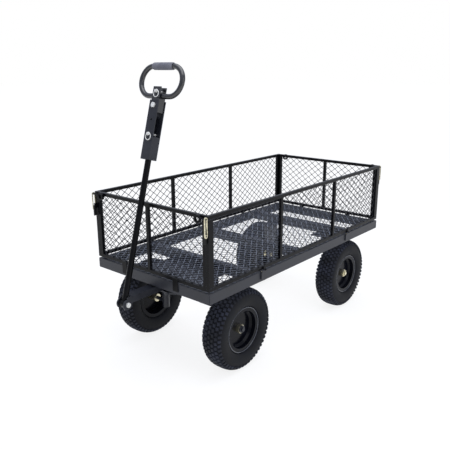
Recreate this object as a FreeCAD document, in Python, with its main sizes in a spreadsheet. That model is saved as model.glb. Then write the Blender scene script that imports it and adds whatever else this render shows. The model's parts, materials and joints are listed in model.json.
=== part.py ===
import FreeCAD, Part
import Sketcher
import os
import re

# Four-wheel garden cart with mesh drop sides, steered front wheels and a pull handle
# that doubles as a tow bar.
#
# Frame: X runs across the cart, +X is its right side, the handle is at the -Y end and
# +Z is up.  The origin lies on the ground under the centre of the whole cart's box.
# Most pieces are drawn about the centre of the load bed, and their Placement then moves
# them along Y by bed_shift.  The handle's pieces are drawn upright about the clevis bolt
# and lean back with their Placement.  All sizes are in millimetres.

SIZES = {
    # load bed
    "bed_length": 1240, "bed_width": 605, "tyre_room": 19, "rail_height": 39,
    "rail_wall": 2, "rail_flange": 24, "deck_thick": 1.5, "deck_inset": 5,
    "member_depth": 30, "member_rear_shift": 4, "member_mid_y": -8, "member_front_shift": 57,
    # drop sides
    "panel_height": 268, "panel_gap": 8, "bar_size": 12.5, "bar_wall": 1.2, "post_width": 25,
    "end_post_width": 15,
    "side_post_y": 200, "mesh_thick": 1, "panel_play": 0.6,
    "hinge_out": 5, "hinge_up": 4, "hinge_eye_r": 4.6, "hinge_pin_r": 2.5, "hinge_leaf": 12,
    "hinge_leaf_gap": 1, "hinge_place_y": 320, "tab_place_x": 140, "tab_width": 26,
    "tab_thick": 3, "tab_drop": 30,
    # corner latches
    "latch_peg_drop": 9, "latch_peg_r": 3, "latch_peg_play": 0.8, "latch_out": 9, "peg_lap": 0.3,
    "catch_r": 15, "catch_hole_r": 9, "catch_in": 31, "catch_drop": 5, "lever_pivot_drop": 50,
    "lever_pin_r": 2.5, "lever_arm": 8,
    "lever_thick": 5.2, "lever_length": 36, "lever_half": 6, "bail_wire": 3.2, "bail_pin_r": 3,
    "lug_thick": 2, "latch_gap": 0.4,
    # wheels
    "tyre_r": 162.5, "tyre_width": 88, "tyre_wall": 9, "wheel_tuck": 59.5,
    "rim_flange_r": 89, "rim_barrel_r": 77, "rim_width": 68, "rim_wall": 2.5, "disc_x": 6,
    "hub_r": 17, "hub_in": 40, "hub_out": 24, "axle_r": 8, "axle_end": 34, "washer_r": 15,
    "washer_thick": 2.5, "cotter_r": 1.6, "cotter_reach": 4, "cotter_play": 0.2,
    "front_axle_in": 218, "rear_axle_in": 238,
    # front axle and steering
    "beam_size": 40, "beam_wall": 3, "beam_room": 20, "kingpin_in": 93, "kingpin_r": 8, "bush_r": 17,
    "sleeve_r": 15.5, "sleeve_foot": 24.5, "sleeve_gap": 1, "arm_forward": 60, "arm_side": 30,
    "arm_thick": 8, "arm_eye_r": 11, "rod_eye_r": 11, "rod_width": 14,
    "rod_thick": 8, "joint_gap": 1, "stud_r": 5, "stud_foot": 4, "kingbolt_ahead": 98, "kingbolt_r": 8,
    "plate_thick": 4, "plate_ahead": 90,
    "tongue_ahead": 124, "tongue_width": 40, "tongue_room": 9, "tongue_height": 25,
    "tongue_wall": 4, "tongue_tail": 22, "tongue_nose": 20, "crank_thick": 6,
    "crank_half": 43, "crank_end": 16, "bracket_thick": 5, "bracket_width": 60, "bracket_in": 50,
    "rear_hanger_in": 68, "stub_tail": 6, "rear_bracket_top": 130, "rear_bracket_foot": 44,
    "rear_bracket_drop": 18,
    # handle, measured upright from the clevis bolt
    "clevis_drop": 2.5, "clevis_bolt_r": 6, "handle_lean": 15.9, "stop_gap": 0.3,
    "drawbar_r": 11, "drawbar_wall": 2, "eye_r": 14, "eye_play": 0.5,
    "fork_bottom": 524, "sleeve_top": 606, "fork_top": 734, "fork_width": 44, "fork_depth": 37,
    "fork_back_top": 682,
    "fork_wall": 3.5, "shank_bolt_at": 716, "shank_bolt_r": 5, "shank_bottom": 692,
    "shank_top": 782, "shank_width": 38, "shank_play": 0.4, "head_wall": 4,
    "lock_pin_at": 614, "spare_hole_at": 665, "pin_r": 4, "hitch_pin_at": 766,
    "pin_proud": 9, "pin_head": 3, "pin_head_lip": 2.5, "pull_ring_r": 12, "pull_ring_wire": 1.3,
    "pull_ring_hold": 2, "pull_ring_side": 6.3, "pull_ring_drop": 10.2,
    "ring_low_at": 750, "ring_high_at": 856, "ring_tube_r": 9.5, "ring_half_straight": 50,
    "grip_r": 13.5, "grip_half": 50,
    # fits
    "running_fit": 0.05, "bolt_head_r": 9, "bolt_head": 6,
}

# Places and sizes that follow from the driving ones.
DERIVED = {
    "half_length": "bed_length / 2",
    "half_width": "bed_width / 2",
    "rail_bottom": "2 * tyre_r + tyre_room",
    "rail_top": "rail_bottom + rail_height",
    "tongue_reach": "half_length + tongue_ahead",
    "front_reach": "tongue_reach + tongue_nose",
    "bail_half": "latch_peg_r + latch_peg_play + bail_wire",
    "rear_reach": "half_length + latch_out + bail_half",
    "bed_shift": "(front_reach - rear_reach) / 2",
    "panel_bottom": "rail_top + panel_gap",
    "panel_top": "panel_bottom + panel_height",
    "side_in": "half_width - bar_size",
    "end_half": "side_in - panel_play",
    "hinge_x": "half_width + hinge_out",
    "hinge_z": "rail_top + hinge_up",
    "latch_y": "half_length + latch_out",
    "latch_peg_z": "panel_top - latch_peg_drop",
    "lever_pivot_z": "latch_peg_z - lever_pivot_drop",
    "lug_in": "side_in",
    "lever_in": "lug_in + lug_thick + latch_gap",
    "bail_in": "lever_in + lever_thick + latch_gap",
    "bail_out": "bail_in + bail_wire",
    "catch_x": "end_half - catch_in",
    "axle_z": "tyre_r",
    "track_half": "half_width - wheel_tuck",
    "front_axle_y": "front_axle_in - half_length",
    "rear_axle_y": "half_length - rear_axle_in",
    "member_rear_y": "rear_axle_y + member_rear_shift",
    "member_front_y": "front_axle_y + member_front_shift",
    "kingbolt_y": "front_axle_y - kingbolt_ahead",
    "plate_front": "kingbolt_y - plate_ahead",
    "kingpin_x": "track_half - kingpin_in",
    "bracket_x": "kingpin_x - bracket_in",
    "rear_hanger_x": "track_half - rear_hanger_in",
    "tongue_top": "rail_bottom - tongue_room",
    "tongue_bottom": "tongue_top - tongue_height",
    "clevis_z": "tongue_bottom - clevis_drop",
    "crank_bottom": "tongue_bottom - crank_thick",
    "rod_top": "crank_bottom - joint_gap",
    "rod_bottom": "rod_top - rod_thick",
    "arm_top": "rod_bottom - joint_gap",
    "arm_bottom": "arm_top - arm_thick",
    "beam_bottom": "arm_bottom - beam_room - beam_size",
    "knuckle_top": "beam_bottom - sleeve_gap",
    "sleeve_bottom": "axle_z - sleeve_foot",
    "ring_arc_r": "(ring_high_at - ring_low_at) / 2",
    "ring_middle": "(ring_high_at + ring_low_at) / 2",
    "web_front": "(tongue_top - clevis_z) * tan(handle_lean) + drawbar_r / cos(handle_lean) + stop_gap",
}

doc = FreeCAD.newDocument("garden_cart")
sheet = doc.addObject("Spreadsheet::Sheet", "Sizes")
for row, (alias, number) in enumerate(SIZES.items(), start=1):
    sheet.set("A%d" % row, alias)
    sheet.set("B%d" % row, str(number))
    sheet.setAlias("B%d" % row, alias)
doc.recompute()

NODES = []


def expand(text):
    """Turn the plain names in a formula into references to the sheet's cells."""
    def swap(match):
        word = match.group(0)
        if word in DERIVED:
            return "(" + expand(DERIVED[word]) + ")"
        if word in SIZES:
            return "Sizes." + word
        return word
    return re.sub(r"[a-z_][a-z0-9_]*", swap, str(text))


def value(text):
    """The number that a formula gives now."""
    return float(sheet.evalExpression(expand(text)))


def bind(thing, name, text):
    """Tie one property of an object to a formula."""
    thing.setExpression(name, expand(text))


def place(thing, x="0", y="0", z="0"):
    """Tie an object's position to three formulas."""
    for letter, text in zip("xyz", (x, y, z)):
        bind(thing, ".Placement.Base." + letter, text)


# ---------------------------------------------------------------- shapes by primitives

def block(size_x, size_y, size_z, x="0", y="0", z="0"):
    """A box centred on x and y that stands on z."""
    box = doc.addObject("Part::Box", "Block")
    bind(box, "Length", size_x)
    bind(box, "Width", size_y)
    bind(box, "Height", size_z)
    place(box, "(%s) - (%s) / 2" % (x, size_x), "(%s) - (%s) / 2" % (y, size_y), z)
    return box


def turned_bar(x1, y1, x2, y2, width, thick, z):
    """A flat bar between two points of a level plane."""
    run_x = "((%s) - (%s))" % (x2, x1)
    run_y = "((%s) - (%s))" % (y2, y1)
    angle = "atan2(%s; %s)" % (run_y, run_x)
    bar = doc.addObject("Part::Box", "Bar")
    bind(bar, "Length", "hypot(%s; %s)" % (run_x, run_y))
    bind(bar, "Width", width)
    bind(bar, "Height", thick)
    bar.Placement.Rotation = FreeCAD.Rotation(FreeCAD.Vector(0, 0, 1), 10)
    bind(bar, ".Placement.Rotation.Angle", angle)
    place(bar, "(%s) + (%s) / 2 * sin(%s)" % (x1, width, angle),
          "(%s) - (%s) / 2 * cos(%s)" % (y1, width, angle), z)
    return bar


AXES = {
    "X": FreeCAD.Rotation(FreeCAD.Vector(0, 1, 0), 90),
    "Y": FreeCAD.Rotation(FreeCAD.Vector(1, 0, 0), -90),
    "Z": FreeCAD.Rotation(),
}


def rod(radius, length, axis="Z", x="0", y="0", z="0"):
    """A round bar along one axis that starts at the given point."""
    bar = doc.addObject("Part::Cylinder", "Rod")
    bind(bar, "Radius", radius)
    bind(bar, "Height", length)
    bar.Placement.Rotation = AXES[axis]
    place(bar, x, y, z)
    return bar


def fuse(*pieces):
    """One solid from several that meet."""
    joined = doc.addObject("Part::MultiFuse", "Joined")
    joined.Shapes = list(pieces)
    joined.Refine = True
    return joined


def cut(base, *tools):
    """A shape less the others."""
    left = doc.addObject("Part::Cut", "Cut")
    left.Base = base
    left.Tool = tools[0] if len(tools) == 1 else fuse(*tools)
    return left


def group(*pieces):
    """Separate solids that share one node."""
    together = doc.addObject("Part::Compound", "Group")
    together.Links = list(pieces)
    return together


def pipe(size_x, size_y, size_z, wall, axis, x="0", y="0", z="0"):
    """A closed square tube: its bore stops one wall short of each end."""
    outer = block(size_x, size_y, size_z, x, y, z)
    inner = block("(%s) - 2 * (%s)" % (size_x, wall), "(%s) - 2 * (%s)" % (size_y, wall),
                  "(%s) - 2 * (%s)" % (size_z, wall), x, y, "(%s) + (%s)" % (z, wall))
    return cut(outer, inner)


def node(label, shape, x="0", y="bed_shift", z="0"):
    """Name a finished piece and put it in its place."""
    shape.Label = label
    place(shape, x, y, z)
    NODES.append(shape)
    return shape


def handle_node(label, shape):
    """Name a piece of the handle: it turns about the clevis bolt to its lean."""
    shape.Placement.Rotation = FreeCAD.Rotation(FreeCAD.Vector(1, 0, 0), -10)
    bind(shape, ".Placement.Rotation.Angle", "-handle_lean")
    shape.Placement.Rotation.Axis = FreeCAD.Vector(1, 0, 0)
    return node(label, shape, "0", "bed_shift - tongue_reach", "clevis_z")


# ------------------------------------------------------------- shapes by sketches

def new_body():
    """An empty PartDesign body."""
    return doc.addObject("PartDesign::Body", "Body")


def plane_of(body, role):
    """The body's own origin plane with the given role."""
    return [f for f in body.Origin.OriginFeatures if f.Role == role][0]


def polygon(body, role, points):
    """A closed sketch of straight lines whose corners are tied to formulas."""
    sketch = body.newObject("Sketcher::SketchObject", "Outline")
    sketch.AttachmentSupport = [(plane_of(body, role), "")]
    sketch.MapMode = "FlatFace"
    corners = [FreeCAD.Vector(value(u), value(v), 0) for u, v in points]
    count = len(corners)
    for i in range(count):
        sketch.addGeometry(Part.LineSegment(corners[i], corners[(i + 1) % count]), False)
    for i in range(count):
        sketch.addConstraint(Sketcher.Constraint("Coincident", i, 2, (i + 1) % count, 1))
    for i, (u, v) in enumerate(points):
        across = sketch.addConstraint(Sketcher.Constraint("DistanceX", -1, 1, i, 1, corners[i].x))
        bind(sketch, "Constraints[%d]" % across, u)
        upward = sketch.addConstraint(Sketcher.Constraint("DistanceY", -1, 1, i, 1, corners[i].y))
        bind(sketch, "Constraints[%d]" % upward, v)
    return sketch


def circles(body, role, rings):
    """A sketch of whole circles, each a centre and a radius tied to formulas."""
    sketch = body.newObject("Sketcher::SketchObject", "Holes")
    sketch.AttachmentSupport = [(plane_of(body, role), "")]
    sketch.MapMode = "FlatFace"
    for i, (u, v, radius) in enumerate(rings):
        centre = FreeCAD.Vector(value(u), value(v), 0)
        sketch.addGeometry(Part.Circle(centre, FreeCAD.Vector(0, 0, 1), value(radius)), False)
        across = sketch.addConstraint(Sketcher.Constraint("DistanceX", -1, 1, i, 3, centre.x))
        bind(sketch, "Constraints[%d]" % across, u)
        upward = sketch.addConstraint(Sketcher.Constraint("DistanceY", -1, 1, i, 3, centre.y))
        bind(sketch, "Constraints[%d]" % upward, v)
        size = sketch.addConstraint(Sketcher.Constraint("Radius", i, value(radius)))
        bind(sketch, "Constraints[%d]" % size, radius)
    return sketch


def pad(body, sketch, length):
    """Push a sketch up by a length, half to each side of its plane."""
    feature = body.newObject("PartDesign::Pad", "Pad")
    feature.Profile = sketch
    feature.Midplane = True
    bind(feature, "Length", length)
    return feature


def pocket(body, sketch):
    """Cut a sketch through the whole body, both ways."""
    doc.recompute()
    before = body.Shape.Volume
    feature = body.newObject("PartDesign::Pocket", "Pocket")
    feature.Profile = sketch
    feature.Type = "ThroughAll"
    feature.Midplane = True
    doc.recompute()
    if body.Shape.Volume >= before:
        raise RuntimeError("a pocket cut nothing")
    return feature


def revolve(body, sketch):
    """Turn a sketch round the body's X axis."""
    feature = body.newObject("PartDesign::Revolution", "Revolution")
    feature.Profile = sketch
    feature.ReferenceAxis = (sketch, ["H_Axis"])
    feature.Angle = 360
    return feature


# ---------------------------------------------------------------------- load bed

def side_rail(sign):
    """A channel along one side of the bed, open inwards, with its two hinge leaves."""
    run = "bed_length - 2 * rail_wall"
    web = block("rail_wall", run, "rail_height", "%d * (half_width - rail_wall / 2)" % sign, "0",
                "rail_bottom")
    lips = [block("rail_flange", run, "rail_wall", "%d * (half_width - rail_flange / 2)" % sign, "0", z)
            for z in ("rail_bottom", "rail_top - rail_wall")]
    pieces = [web] + lips
    for y in ("-hinge_place_y", "hinge_place_y"):
        leaf_y = "%s - hinge_leaf / 2 - hinge_leaf_gap / 2" % y
        start = "%s - hinge_leaf - hinge_leaf_gap / 2" % y
        strap = block("hinge_out", "hinge_leaf", "hinge_z - rail_top + tab_drop",
                      "%d * (half_width + hinge_out / 2)" % sign, leaf_y, "rail_top - tab_drop")
        eye = rod("hinge_eye_r", "hinge_leaf", "Y", "%d * hinge_x" % sign, start, "hinge_z")
        pieces += [strap, eye]
    pins = [rod("hinge_pin_r", "hinge_leaf", "Y", "%d * hinge_x" % sign,
                "%s - hinge_leaf - hinge_leaf_gap / 2" % y, "hinge_z")
            for y in ("-hinge_place_y", "hinge_place_y")]
    return cut(fuse(*pieces), *pins)


def end_rail(sign):
    """A channel across one end of the bed, open inwards; its web covers the side rails' ends."""
    web = block("bed_width", "rail_wall", "rail_height", "0", "%d * (half_length - rail_wall / 2)" % sign,
                "rail_bottom")
    lips = [block("bed_width - 2 * rail_flange", "rail_flange", "rail_wall", "0",
                  "%d * (half_length - rail_flange / 2)" % sign, z)
            for z in ("rail_bottom", "rail_top - rail_wall")]
    return fuse(web, *lips)


def cross_member(y):
    """A channel across the bed between the side rails' lips, open at the bottom."""
    width = "bed_width - 2 * rail_flange"
    outer = block(width, "member_depth", "rail_height", "0", y, "rail_bottom")
    inner = block(width, "member_depth - 2 * rail_wall", "rail_height - rail_wall", "0", y, "rail_bottom")
    return cut(outer, inner)


def hinge_pins():
    """The four pins that carry the two side panels."""
    length = "2 * hinge_leaf + hinge_leaf_gap"
    pins = []
    for sign in (1, -1):
        for y in ("-hinge_place_y", "hinge_place_y"):
            pins.append(rod("hinge_pin_r", length, "Y", "%d * hinge_x" % sign,
                            "%s - (%s) / 2" % (y, length), "hinge_z"))
    return group(*pins)


def build_bed():
    """Rails, cross-members and deck."""
    node("rail_right", side_rail(1))
    node("rail_left", side_rail(-1))
    node("rail_front", end_rail(-1))
    node("rail_rear", end_rail(1))
    node("cross_members", group(cross_member("member_rear_y"), cross_member("member_mid_y"),
                                cross_member("member_front_y")))
    node("deck_mesh", group(block("bed_width - 2 * deck_inset", "bed_length - 2 * deck_inset", "deck_thick",
                                  "0", "0", "rail_top")))
    node("panel_hinge_pins", hinge_pins())


# ------------------------------------------------------------------- drop sides

def side_frame(sign):
    """The square-tube frame of a long side, with its hinge eyes and latch lugs."""
    x = "%d * (half_width - bar_size / 2)" % sign
    pieces = [pipe("bar_size", "bed_length", "bar_size", "bar_wall", "Y", x, "0", z)
              for z in ("panel_bottom", "panel_top - bar_size")]
    clear = "panel_height - 2 * bar_size"
    pieces += [pipe("bar_size", "post_width", clear, "bar_wall", "Z", x,
                    "%d * (half_length - post_width / 2)" % end, "panel_bottom + bar_size")
               for end in (1, -1)]
    pieces += [pipe("bar_size", "bar_size", clear, "bar_wall", "Z", x, "%d * side_post_y" % end,
                    "panel_bottom + bar_size") for end in (1, -1)]
    for y in ("-hinge_place_y", "hinge_place_y"):
        leaf_y = "%s + hinge_leaf / 2 + hinge_leaf_gap / 2" % y
        pieces.append(block("hinge_out", "hinge_leaf", "panel_gap + bar_size - hinge_up",
                            "%d * (half_width + hinge_out / 2)" % sign, leaf_y, "hinge_z"))
        pieces.append(rod("hinge_eye_r", "hinge_leaf", "Y", "%d * hinge_x" % sign,
                          "%s + hinge_leaf_gap / 2" % y, "hinge_z"))
    for end in (1, -1):
        pieces.append(block("lug_thick", "latch_out + lever_half", "2 * lever_half + lever_arm",
                            "%d * (lug_in + lug_thick / 2)" % sign,
                            "%d * (half_length + (latch_out + lever_half) / 2)" % end,
                            "lever_pivot_z - lever_half"))
        start = "lug_in" if sign > 0 else "-bail_in + latch_gap"
        pieces.append(rod("lever_pin_r", "lug_thick + lever_thick + latch_gap", "X",
                          start, "%d * latch_y" % end, "lever_pivot_z"))
    bores = [rod("hinge_pin_r + running_fit", "hinge_leaf + hinge_leaf_gap", "Y", "%d * hinge_x" % sign, y,
                 "hinge_z") for y in ("-hinge_place_y", "hinge_place_y")]
    return cut(fuse(*pieces), *bores)


def side_mesh(sign):
    """Three bays of mesh in the middle plane of a long side's frame."""
    x = "%d * (half_width - bar_size / 2)" % sign
    clear = "panel_height - 2 * bar_size"
    middle = "2 * side_post_y - bar_size"
    end_bay = "half_length - post_width - side_post_y - bar_size / 2"
    bays = [block("mesh_thick", middle, clear, x, "0", "panel_bottom + bar_size")]
    for end in (1, -1):
        centre = "%d * (side_post_y + bar_size / 2 + (%s) / 2)" % (end, end_bay)
        bays.append(block("mesh_thick", end_bay, clear, x, centre, "panel_bottom + bar_size"))
    return group(*bays)


def end_frame(sign):
    """The square-tube frame of a short side, with the two tabs that drop outside the rail."""
    y = "%d * (half_length - bar_size / 2)" % sign
    pieces = [pipe("2 * end_half", "bar_size", "bar_size", "bar_wall", "X", "0", y, z)
              for z in ("panel_bottom", "panel_top - bar_size")]
    clear = "panel_height - 2 * bar_size"
    pieces += [pipe("end_post_width", "bar_size", clear, "bar_wall", "Z",
                    "%d * (end_half - end_post_width / 2)" % side, y, "panel_bottom + bar_size")
               for side in (1, -1)]
    pieces.append(pipe("bar_size", "bar_size", clear, "bar_wall", "Z", "0", y, "panel_bottom + bar_size"))
    pieces += [block("tab_width", "tab_thick", "tab_drop + panel_gap + bar_size", "%d * tab_place_x" % side,
                     "%d * (half_length + tab_thick / 2)" % sign, "rail_top - tab_drop") for side in (1, -1)]
    return fuse(*pieces)


def end_mesh(sign):
    """Two bays of mesh in the middle plane of a short side's frame."""
    y = "%d * (half_length - bar_size / 2)" % sign
    bay = "end_half - end_post_width - bar_size / 2"
    return group(*[block(bay, "mesh_thick", "panel_height - 2 * bar_size",
                         "%d * (bar_size / 2 + (%s) / 2)" % (side, bay), y, "panel_bottom + bar_size")
                   for side in (1, -1)])


def latch_peg(side, end):
    """A rolled eye on a short side's top bar with the peg that the latch's bail goes over."""
    length = "latch_out + peg_lap"
    start = "half_length" if end > 0 else "-half_length - (%s)" % length
    centre_z = "latch_peg_z - catch_drop"
    eye = cut(rod("catch_r", length, "Y", "%d * catch_x" % side, start, centre_z),
              rod("catch_hole_r", length, "Y", "%d * catch_x" % side, start, centre_z))
    root = "(catch_x + (catch_r + catch_hole_r) / 2)"
    begin = root if side > 0 else "-half_width"
    peg = rod("latch_peg_r", "half_width - %s" % root, "X", begin, "%d * latch_y" % end, "latch_peg_z")
    return fuse(eye, peg)


def latch_lever(side, end):
    """The tapered thumb lever: its pin carries the bail, and a pin of the side carries it."""
    y = "%d * latch_y" % end
    x = "%d * (lever_in + lever_thick / 2)" % side
    begin = "lever_in" if side > 0 else "-lever_in - lever_thick"
    body = block("lever_thick", "2 * lever_half", "lever_length", x, y, "lever_pivot_z - lever_length")
    head = rod("lever_half", "lever_thick", "X", begin, y, "lever_pivot_z")
    stud_start = "lever_in" if side > 0 else "-bail_out - latch_gap"
    stud = rod("bail_pin_r", "bail_out - lever_in + latch_gap", "X", stud_start, y,
               "lever_pivot_z - lever_arm")
    bore = rod("lever_pin_r + running_fit", "lever_thick + 2 * latch_gap", "X",
               begin + " - latch_gap", y, "lever_pivot_z")
    return cut(fuse(body, head, stud), bore)


def latch_bail(side, end):
    """The wire link from the lever's stud up to the peg on the short side."""
    y = "%d * latch_y" % end
    low = "lever_pivot_z - lever_arm"
    inner = "latch_peg_r + latch_peg_play"
    outer = "bail_half"
    x = "%d * (bail_in + bail_wire / 2)" % side
    begin = "bail_in" if side > 0 else "-bail_out"
    span = "latch_peg_z - (%s)" % low
    solid = fuse(block("bail_wire", "2 * (%s)" % outer, span, x, y, low),
                 rod(outer, "bail_wire", "X", begin, y, "latch_peg_z"),
                 rod(outer, "bail_wire", "X", begin, y, low))
    rise = "bail_pin_r + 2"
    gap = [rod(inner, "bail_wire", "X", begin, y, "latch_peg_z"),
           rod("bail_pin_r + running_fit", "bail_wire", "X", begin, y, low),
           block("bail_wire", "2 * (%s)" % inner, "(%s) - (%s)" % (span, rise), x, y,
                 "(%s) + %s" % (low, rise))]
    return cut(solid, *gap)


def build_sides():
    """The four drop sides and their corner latches."""
    for name, sign in (("right", 1), ("left", -1)):
        node("side_frame_" + name, side_frame(sign))
        node("side_mesh_" + name, side_mesh(sign))
    for name, sign in (("front", -1), ("rear", 1)):
        node("end_frame_" + name, end_frame(sign))
        node("end_mesh_" + name, end_mesh(sign))
    corners = [(side, end) for side in (1, -1) for end in (-1, 1)]
    node("latch_pegs", group(*[latch_peg(side, end) for side, end in corners]))
    for side, end in corners:
        name = "%s_%s" % ("front" if end < 0 else "rear", "right" if side > 0 else "left")
        node("latch_lever_" + name, latch_lever(side, end))
        node("latch_bail_" + name, latch_bail(side, end))


# ----------------------------------------------------------------------- wheels

def tyre():
    """A hollow tyre turned about X: a rounded casing that ends in two beads on the rim."""
    half = "tyre_width / 2"
    outside = [("rim_width / 2 - rim_wall", "rim_barrel_r"), ("rim_width / 2 - rim_wall", "rim_flange_r + 2"),
               (half + " - 2", "tyre_r - 58"), (half, "tyre_r - 42"), (half + " - 1", "tyre_r - 26"),
               (half + " - 7", "tyre_r - 12"), (half + " - 18", "tyre_r - 3"), (half + " - 30", "tyre_r")]
    inside = [("tyre_width / 2 - 30", "tyre_r - tyre_wall"),
              (half + " - tyre_wall - 10", "tyre_r - tyre_wall - 8"),
              (half + " - tyre_wall", "tyre_r - 34"), (half + " - tyre_wall - 2", "tyre_r - 56"),
              ("rim_width / 2 - rim_wall - tyre_wall", "rim_flange_r + 3"),
              ("rim_width / 2 - rim_wall - tyre_wall", "rim_barrel_r")]
    left = [("-(%s)" % u, v) for u, v in reversed(outside)]
    hollow_left = [("-(%s)" % u, v) for u, v in reversed(inside)]
    body = new_body()
    sketch = polygon(body, "XY_Plane", outside + left + hollow_left + inside)
    revolve(body, sketch)
    return body


def rim():
    """A dished steel rim turned about X."""
    half = "rim_width / 2"
    bore = "hub_r"
    outline = [(half, "rim_flange_r"), (half + " - rim_wall", "rim_flange_r"),
               (half + " - rim_wall", "rim_barrel_r"), ("-(%s) + rim_wall" % half, "rim_barrel_r"),
               ("-(%s) + rim_wall" % half, "rim_flange_r"), ("-(%s)" % half, "rim_flange_r"),
               ("-(%s)" % half, "rim_barrel_r - rim_wall"), ("disc_x - rim_wall", "rim_barrel_r - rim_wall"),
               ("disc_x - rim_wall", bore), ("disc_x + rim_wall", bore),
               ("disc_x + rim_wall", "rim_barrel_r - rim_wall - 8"),
               ("disc_x + 10", "rim_barrel_r - rim_wall"),
               (half, "rim_barrel_r - rim_wall")]
    body = new_body()
    revolve(body, polygon(body, "XY_Plane", outline))
    return body


def hub():
    """The plated hub tube with its bore for the axle."""
    length = "hub_in + hub_out"
    barrel = rod("hub_r", length, "X", "-hub_in")
    bore = rod("axle_r + running_fit", length, "X", "-hub_in")
    return cut(barrel, bore)


def wheel(name, side, y):
    """Tyre, rim and hub of one wheel, set at its place; the left ones face the other way."""
    for part, make in (("tyre", tyre), ("rim", rim), ("hub", hub)):
        piece = make()
        if side < 0:
            piece.Placement.Rotation = FreeCAD.Rotation(FreeCAD.Vector(0, 0, 1), 180)
        node("%s_%s" % (part, name), piece, "%d * track_half" % side, "bed_shift + (%s)" % y, "axle_z")


def retainer(side, y):
    """The washer and cotter pin that keep one wheel on its axle."""
    face = "track_half + hub_out + joint_gap"
    begin = face if side > 0 else "-(%s) - washer_thick" % face
    washer = cut(rod("washer_r", "washer_thick", "X", begin, y, "axle_z"),
                 rod("axle_r", "washer_thick", "X", begin, y, "axle_z"))
    pin_x = "%d * (%s + washer_thick + cotter_r + cotter_play)" % (side, face)
    pin = rod("cotter_r", "2 * (axle_r + cotter_reach)", "Z", pin_x, y, "axle_z - axle_r - cotter_reach")
    return washer, pin


def rear_stub(side):
    """The bar that carries one rear wheel and goes through its hanger, with its cotter's hole."""
    inner = "rear_hanger_x - bracket_thick / 2 - stub_tail"
    begin = inner if side > 0 else "-(track_half + axle_end)"
    bar = rod("axle_r", "track_half + axle_end - (%s)" % inner, "X", begin, "rear_axle_y", "axle_z")
    return cut(bar, retainer(side, "rear_axle_y")[1])


def build_wheels():
    """Four wheels, the rear stub axles and what keeps the rear wheels on."""
    wheel("front_right", 1, "front_axle_y")
    wheel("front_left", -1, "front_axle_y")
    wheel("rear_right", 1, "rear_axle_y")
    wheel("rear_left", -1, "rear_axle_y")
    washers, pins = zip(*[retainer(side, "rear_axle_y") for side in (1, -1)])
    node("rear_stub_axles", group(rear_stub(1), rear_stub(-1)))
    node("rear_wheel_retainers", group(*washers, *pins))


# -------------------------------------------------- axle supports and front steering

def rear_bracket(side):
    """A hanger plate from the rear cross-member down to the axle, narrower at its foot."""
    body = new_body()
    y = "rear_axle_y"
    foot = "axle_z - rear_bracket_drop"
    outline = [("%s - rear_bracket_top / 2" % y, "rail_bottom"), ("%s - rear_bracket_foot / 2" % y, foot),
               ("%s + rear_bracket_foot / 2" % y, foot), ("%s + rear_bracket_top / 2" % y, "rail_bottom")]
    pad(body, polygon(body, "YZ_Plane", outline), "bracket_thick")
    pocket(body, circles(body, "YZ_Plane", [(y, "axle_z", "axle_r")]))
    place(body, "%d * rear_hanger_x" % side)
    return body


def rear_bracket_foot(side):
    """The hanger's folded top flange, which lies under the cross-member."""
    return block("bracket_width", "rear_bracket_top", "bracket_thick",
                 "%d * (rear_hanger_x - bracket_width / 2 - bracket_thick / 2)" % side, "rear_axle_y",
                 "rail_bottom - bracket_thick")


def build_supports():
    """Front plate, beam and brackets, and the rear hangers."""
    plate_rear = "member_front_y - member_depth / 2"
    plate = block("2 * kingpin_x", "(%s) - plate_front" % plate_rear, "plate_thick", "0",
                  "(plate_front + (%s)) / 2" % plate_rear, "rail_bottom")
    bolt_hole = rod("kingbolt_r", "plate_thick", "Z", "0", "kingbolt_y", "rail_bottom")
    node("steering_plate", cut(plate, bolt_hole))
    beam = pipe("2 * (kingpin_x - bush_r)", "beam_size", "beam_size", "beam_wall", "X", "0", "front_axle_y",
                "beam_bottom")
    bushes = [rod("bush_r", "beam_size", "Z", "%d * kingpin_x" % side, "front_axle_y", "beam_bottom")
              for side in (1, -1)]
    cheeks = [block("bush_r", "beam_size", "beam_size", "%d * (kingpin_x - bush_r)" % side, "front_axle_y",
                    "beam_bottom") for side in (1, -1)]
    bores = [rod("kingpin_r + running_fit", "beam_size", "Z", "%d * kingpin_x" % side, "front_axle_y",
                 "beam_bottom") for side in (1, -1)]
    node("front_axle_beam", cut(fuse(beam, *cheeks, *bushes), *bores))
    legs = []
    for side in (1, -1):
        for face in (1, -1):
            legs.append(block("bracket_width", "bracket_thick", "rail_bottom - beam_bottom",
                              "%d * bracket_x" % side,
                              "front_axle_y + %d * (beam_size / 2 + bracket_thick / 2)" % face,
                              "beam_bottom"))
    node("front_beam_brackets", group(*legs))
    hangers = [fuse(rear_bracket(side), rear_bracket_foot(side)) for side in (1, -1)]
    node("rear_axle_brackets", group(*hangers))


def build_kingbolt():
    """The bolt that the tongue turns on: head, spacer above the tongue, stem and nut."""
    wide = "bolt_head_r + 4"
    foot = "crank_bottom - bolt_head - joint_gap / 2"
    stem = rod("kingbolt_r", "rail_bottom + plate_thick - (%s)" % foot, "Z", "0", "kingbolt_y", foot)
    head = rod(wide, "bolt_head + 2", "Z", "0", "kingbolt_y", "rail_bottom + plate_thick")
    spacer = rod(wide, "rail_bottom - tongue_top - joint_gap / 2", "Z", "0", "kingbolt_y",
                 "tongue_top + joint_gap / 2")
    nut = rod(wide, "bolt_head", "Z", "0", "kingbolt_y", foot)
    node("kingbolt", fuse(stem, head, spacer, nut))


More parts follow.
